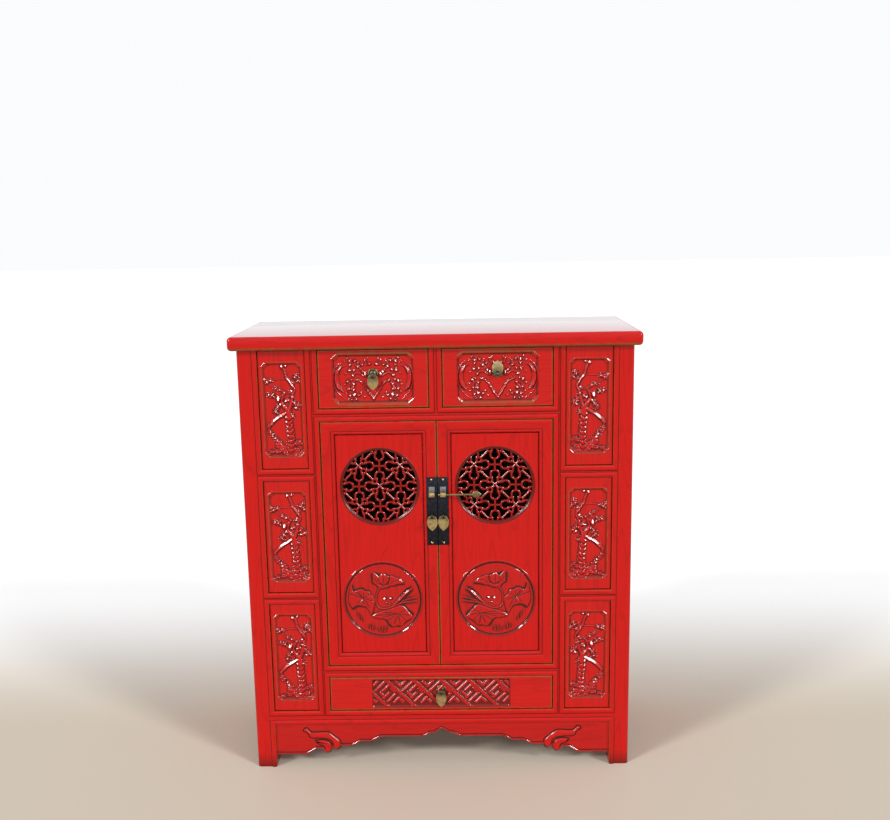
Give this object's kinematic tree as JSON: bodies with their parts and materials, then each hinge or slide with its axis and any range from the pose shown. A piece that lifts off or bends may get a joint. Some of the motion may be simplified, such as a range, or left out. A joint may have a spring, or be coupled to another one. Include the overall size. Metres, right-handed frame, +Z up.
{
  "type": "sideboard cabinet",
  "caption": "Red lacquered sideboard with carved column panels, pivot doors with pierced round lattices, sliding drawers, brass leaf pulls and a scalloped apron.",
  "frame": {"origin": "on the floor, under the middle of the top board", "axes": "+Z up, the front with the doors faces -Y, +X to the right of someone who faces the front"},
  "size_m": [0.9, 0.37, 1.015],
  "materials": {
    "red_lacquer": "gloss lacquer",
    "plain_wood": "oiled",
    "black_iron": "satin black",
    "aged_brass": "aged"
  },
  "bodies": {
    "cabinet": {"back_left_post": "red_lacquer", "back_panels": "plain_wood", "back_rails": "plain_wood", "back_right_post": "red_lacquer", "bottom_board": "plain_wood", "bottom_drawer_guides": "plain_wood", "compartment_floor": "plain_wood", "door_head_rail": "red_lacquer", "door_sill_rail": "red_lacquer", "door_stops": "plain_wood", "drawer_deck": "plain_wood", "drawer_divider": "red_lacquer", "front_apron": "red_lacquer", "front_bottom_rail": "red_lacquer", "front_left_post": "red_lacquer", "front_right_post": "red_lacquer", "left_carved_panels": "red_lacquer", "left_column_rails": "red_lacquer", "left_inner_stile": "red_lacquer", "left_side_apron": "red_lacquer", "left_side_panels": "red_lacquer", "left_side_rails": "red_lacquer", "right_carved_panels": "red_lacquer", "right_column_rails": "red_lacquer", "right_inner_stile": "red_lacquer", "right_side_apron": "red_lacquer", "right_side_panels": "red_lacquer", "right_side_rails": "red_lacquer", "shelf": "plain_wood", "shelf_bearers": "plain_wood", "top_board": "red_lacquer", "top_drawer_guides": "plain_wood"},
    "left_door": {"left_door_frame": "red_lacquer", "left_door_panel": "red_lacquer", "left_door_lattice": "red_lacquer", "left_lock_plate": "black_iron", "left_lock_eye": "aged_brass", "left_door_drop_eye": "aged_brass"},
    "left_door_drop": {"left_door_drop": "aged_brass"},
    "right_door": {"right_door_frame": "red_lacquer", "right_door_panel": "red_lacquer", "right_door_lattice": "red_lacquer", "right_lock_plate": "black_iron", "right_lock_eye": "aged_brass", "right_door_drop_eye": "aged_brass"},
    "right_door_drop": {"right_door_drop": "aged_brass"},
    "latch_pin": {"latch_pin": "aged_brass"},
    "left_drawer": {"left_drawer_front": "red_lacquer", "left_drawer_box": "plain_wood", "left_drawer_rosette": "aged_brass"},
    "left_drawer_drop": {"left_drawer_drop": "aged_brass"},
    "right_drawer": {"right_drawer_front": "red_lacquer", "right_drawer_box": "plain_wood", "right_drawer_rosette": "aged_brass"},
    "right_drawer_drop": {"right_drawer_drop": "aged_brass"},
    "bottom_drawer": {"bottom_drawer_front": "red_lacquer", "bottom_drawer_box": "plain_wood", "bottom_drawer_rosette": "aged_brass"},
    "bottom_drawer_drop": {"bottom_drawer_drop": "aged_brass"}
  },
  "joints": [
    {"name": "left_door_pivot", "type": "hinge", "parent": "cabinet", "child": "left_door", "pos_m": [-0.244, -0.162, 0.537], "axis": [0, 0, -1], "range_deg": [0, 105]},
    {"name": "right_door_pivot", "type": "hinge", "parent": "cabinet", "child": "right_door", "pos_m": [0.244, -0.162, 0.537], "axis": [0, 0, 1], "range_deg": [0, 105]},
    {"name": "left_door_drop_swing", "type": "hinge", "parent": "left_door", "child": "left_door_drop", "pos_m": [-0.0126, -0.1757, 0.608], "axis": [-1, 0, 0], "range_deg": [0, 175]},
    {"name": "right_door_drop_swing", "type": "hinge", "parent": "right_door", "child": "right_door_drop", "pos_m": [0.0126, -0.1757, 0.608], "axis": [-1, 0, 0], "range_deg": [0, 175]},
    {"name": "latch_pin_slide", "type": "slide", "parent": "right_door", "child": "latch_pin", "axis": [1, 0, 0], "range_m": [-0.053, 0.012]},
    {"name": "left_drawer_slide", "type": "slide", "parent": "cabinet", "child": "left_drawer", "axis": [0, -1, 0], "range_m": [0, 0.21]},
    {"name": "right_drawer_slide", "type": "slide", "parent": "cabinet", "child": "right_drawer", "axis": [0, -1, 0], "range_m": [0, 0.21]},
    {"name": "bottom_drawer_slide", "type": "slide", "parent": "cabinet", "child": "bottom_drawer", "axis": [0, -1, 0], "range_m": [0, 0.21]},
    {"name": "left_drawer_drop_swing", "type": "hinge", "parent": "left_drawer", "child": "left_drawer_drop", "pos_m": [-0.136, -0.1742, 0.926], "axis": [-1, 0, 0], "range_deg": [0, 175]},
    {"name": "right_drawer_drop_swing", "type": "hinge", "parent": "right_drawer", "child": "right_drawer_drop", "pos_m": [0.136, -0.1742, 0.926], "axis": [1, 0, 0], "range_deg": [0, 188]},
    {"name": "bottom_drawer_drop_swing", "type": "hinge", "parent": "bottom_drawer", "child": "bottom_drawer_drop", "pos_m": [0, -0.1742, 0.186], "axis": [-1, 0, 0], "range_deg": [0, 175]}
  ]
}
